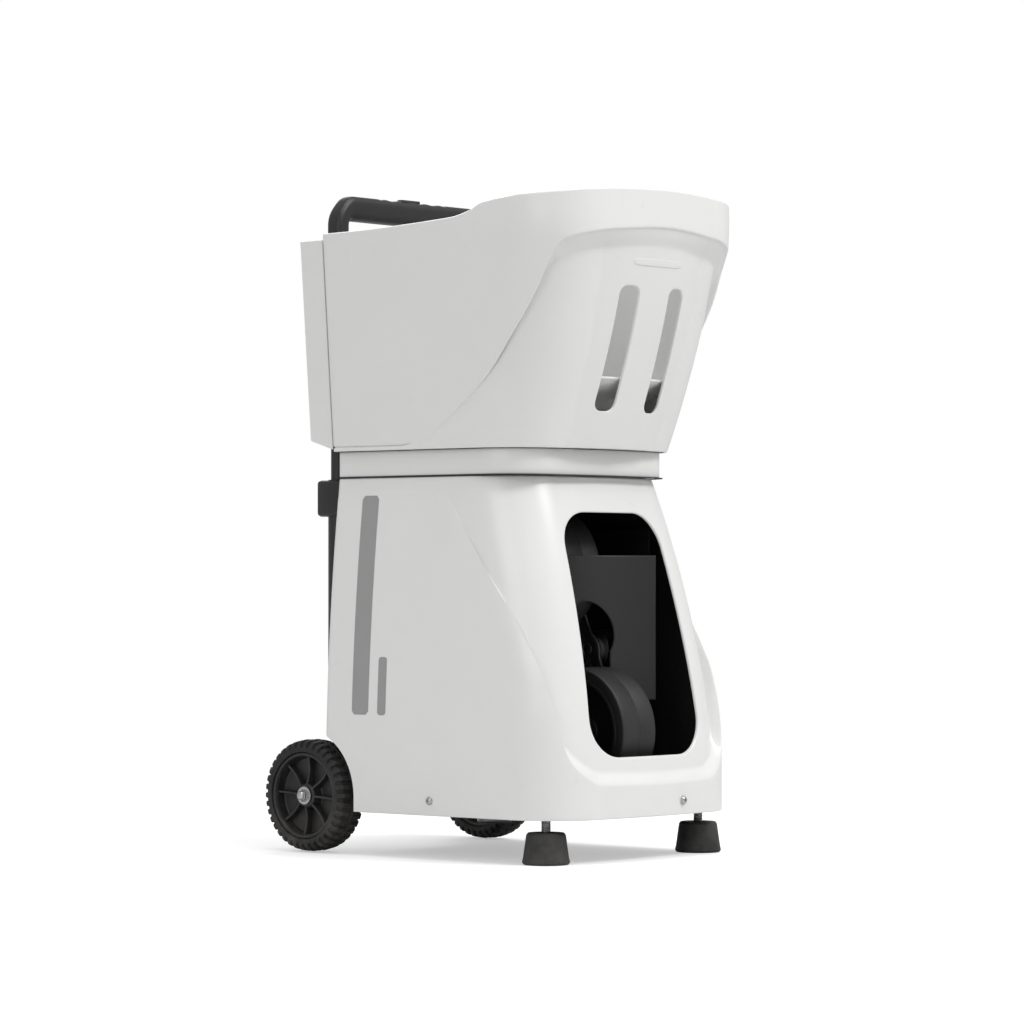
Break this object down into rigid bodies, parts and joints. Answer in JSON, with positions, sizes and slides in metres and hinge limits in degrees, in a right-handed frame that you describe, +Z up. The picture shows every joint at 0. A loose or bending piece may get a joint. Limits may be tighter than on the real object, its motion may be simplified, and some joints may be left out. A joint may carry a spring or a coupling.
{
  "type": "tennis ball machine",
  "caption": "Wheeled tennis ball thrower: white hopper over a housing with two throwing wheels in a tilting head, a ball feeder, front feet and a telescopic handle.",
  "frame": {"origin": "on the floor, under the middle of the machine's bounding box", "axes": "+Z up; the ball outlet faces -Y and the trolley wheels are at +Y; +X to the right seen from the front's left"},
  "size_m": [0.3324, 0.441, 0.714],
  "materials": {
    "white_abs": "moulded, light sheen",
    "black_plastic": "fine moulded grain",
    "grey_plastic": "matte",
    "black_rubber": "matte rubber",
    "steel": "zinc plated",
    "circuit_green": "satin"
  },
  "bodies": {
    "housing": {"base_tray": "black_plastic", "lower_housing": "white_abs", "rear_panel": "grey_plastic", "battery_pack": "black_plastic", "charge_socket": "black_plastic", "control_board": "circuit_green", "seam_gasket": "black_rubber", "hopper_collar": "white_abs", "hopper_shell": "white_abs", "hopper_rear_cover": "white_abs", "hopper_funnel": "white_abs", "feeder_deck": "black_plastic", "feeder_motor": "steel", "ball_chute": "black_plastic", "side_liner_left": "grey_plastic", "side_liner_right": "grey_plastic", "yaw_motor": "steel", "trolley_axle": "steel", "axle_bracket_left": "black_plastic", "axle_bracket_right": "black_plastic", "tube_block_left": "black_plastic", "tube_block_right": "black_plastic", "outer_tube_left": "black_plastic", "outer_tube_right": "black_plastic", "housing_screw_left": "steel", "housing_screw_right": "steel", "housing_screw_front": "steel", "axle_nut_left": "steel", "axle_nut_right": "steel"},
    "handle": {"handle_grip": "black_plastic", "inner_tube_left": "black_plastic", "inner_tube_right": "black_plastic"},
    "release": {"release_button": "grey_plastic"},
    "wheel_left": {"trolley_rim_left": "black_plastic", "trolley_tyre_left": "black_rubber"},
    "wheel_right": {"trolley_rim_right": "black_plastic", "trolley_tyre_right": "black_rubber"},
    "foot_left": {"foot_pad_left": "black_rubber", "foot_stem_left": "steel"},
    "foot_right": {"foot_pad_right": "black_rubber", "foot_stem_right": "steel"},
    "yoke": {"turntable": "steel", "yoke_arm_left": "steel", "yoke_arm_right": "steel", "ball_trough": "black_plastic", "pitch_motor": "steel"},
    "head": {"cradle_cheek_left": "steel", "cradle_cheek_right": "steel", "head_shield": "grey_plastic", "lower_wheel_motor": "steel", "upper_wheel_motor": "steel"},
    "lower_throw": {"lower_throw_hub": "black_plastic", "lower_throw_tyre": "black_rubber"},
    "upper_throw": {"upper_throw_hub": "black_plastic", "upper_throw_tyre": "black_rubber"},
    "feeder": {"feeder_carousel": "black_plastic"},
    "rocker": {"power_rocker": "black_plastic"},
    "door": {"battery_door": "grey_plastic"},
    "speed": {"speed_button": "white_abs"},
    "feed": {"feed_button": "white_abs"}
  },
  "joints": [
    {"name": "handle_slide", "type": "slide", "parent": "housing", "child": "handle", "axis": [0, 0, 1], "range_m": [0, 0.21]},
    {"name": "release_press", "type": "slide", "parent": "handle", "child": "release", "axis": [0, 0, -1], "range_m": [0, 0.005], "stiffness_N_per_m": 800},
    {"name": "wheel_left_roll", "type": "hinge", "parent": "housing", "child": "wheel_left", "pos_m": [-0.142, 0.1595, 0.061], "axis": [1, 0, 0], "continuous": true},
    {"name": "wheel_right_roll", "type": "hinge", "parent": "housing", "child": "wheel_right", "pos_m": [0.142, 0.1595, 0.061], "axis": [1, 0, 0], "continuous": true},
    {"name": "foot_left_screw", "type": "slide", "parent": "housing", "child": "foot_left", "axis": [0, 0, 1], "range_m": [-0.012, 0.008]},
    {"name": "foot_right_screw", "type": "slide", "parent": "housing", "child": "foot_right", "axis": [0, 0, 1], "range_m": [-0.012, 0.008]},
    {"name": "head_yaw", "type": "hinge", "parent": "housing", "child": "yoke", "pos_m": [0, 0.0245, 0.056], "axis": [0, 0, 1], "range_deg": [-10, 10]},
    {"name": "head_pitch", "type": "hinge", "parent": "yoke", "child": "head", "pos_m": [0, -0.0733, 0.2189], "axis": [-1, 0, 0], "range_deg": [-8, 8]},
    {"name": "lower_throw_spin", "type": "hinge", "parent": "head", "child": "lower_throw", "pos_m": [0, -0.1115, 0.133], "axis": [1, 0, 0], "continuous": true},
    {"name": "upper_throw_spin", "type": "hinge", "parent": "head", "child": "upper_throw", "pos_m": [0, -0.035, 0.3047], "axis": [1, 0, 0], "continuous": true},
    {"name": "feeder_turn", "type": "hinge", "parent": "housing", "child": "feeder", "pos_m": [0, 0.0205, 0.432], "axis": [0, 0, 1], "continuous": true},
    {"name": "power_rock", "type": "hinge", "parent": "housing", "child": "rocker", "pos_m": [-0.055, 0.1365, 0.235], "axis": [1, 0, 0], "range_deg": [0, 14]},
    {"name": "battery_door_swing", "type": "hinge", "parent": "housing", "child": "door", "pos_m": [0, 0.139, 0.1497], "axis": [1, 0, 0], "range_deg": [0, 100]},
    {"name": "speed_press", "type": "slide", "parent": "housing", "child": "speed", "axis": [0, -1, 0], "range_m": [0, 0.0015], "stiffness_N_per_m": 600},
    {"name": "feed_press", "type": "slide", "parent": "housing", "child": "feed", "axis": [0, -1, 0], "range_m": [0, 0.0015], "stiffness_N_per_m": 600}
  ]
}
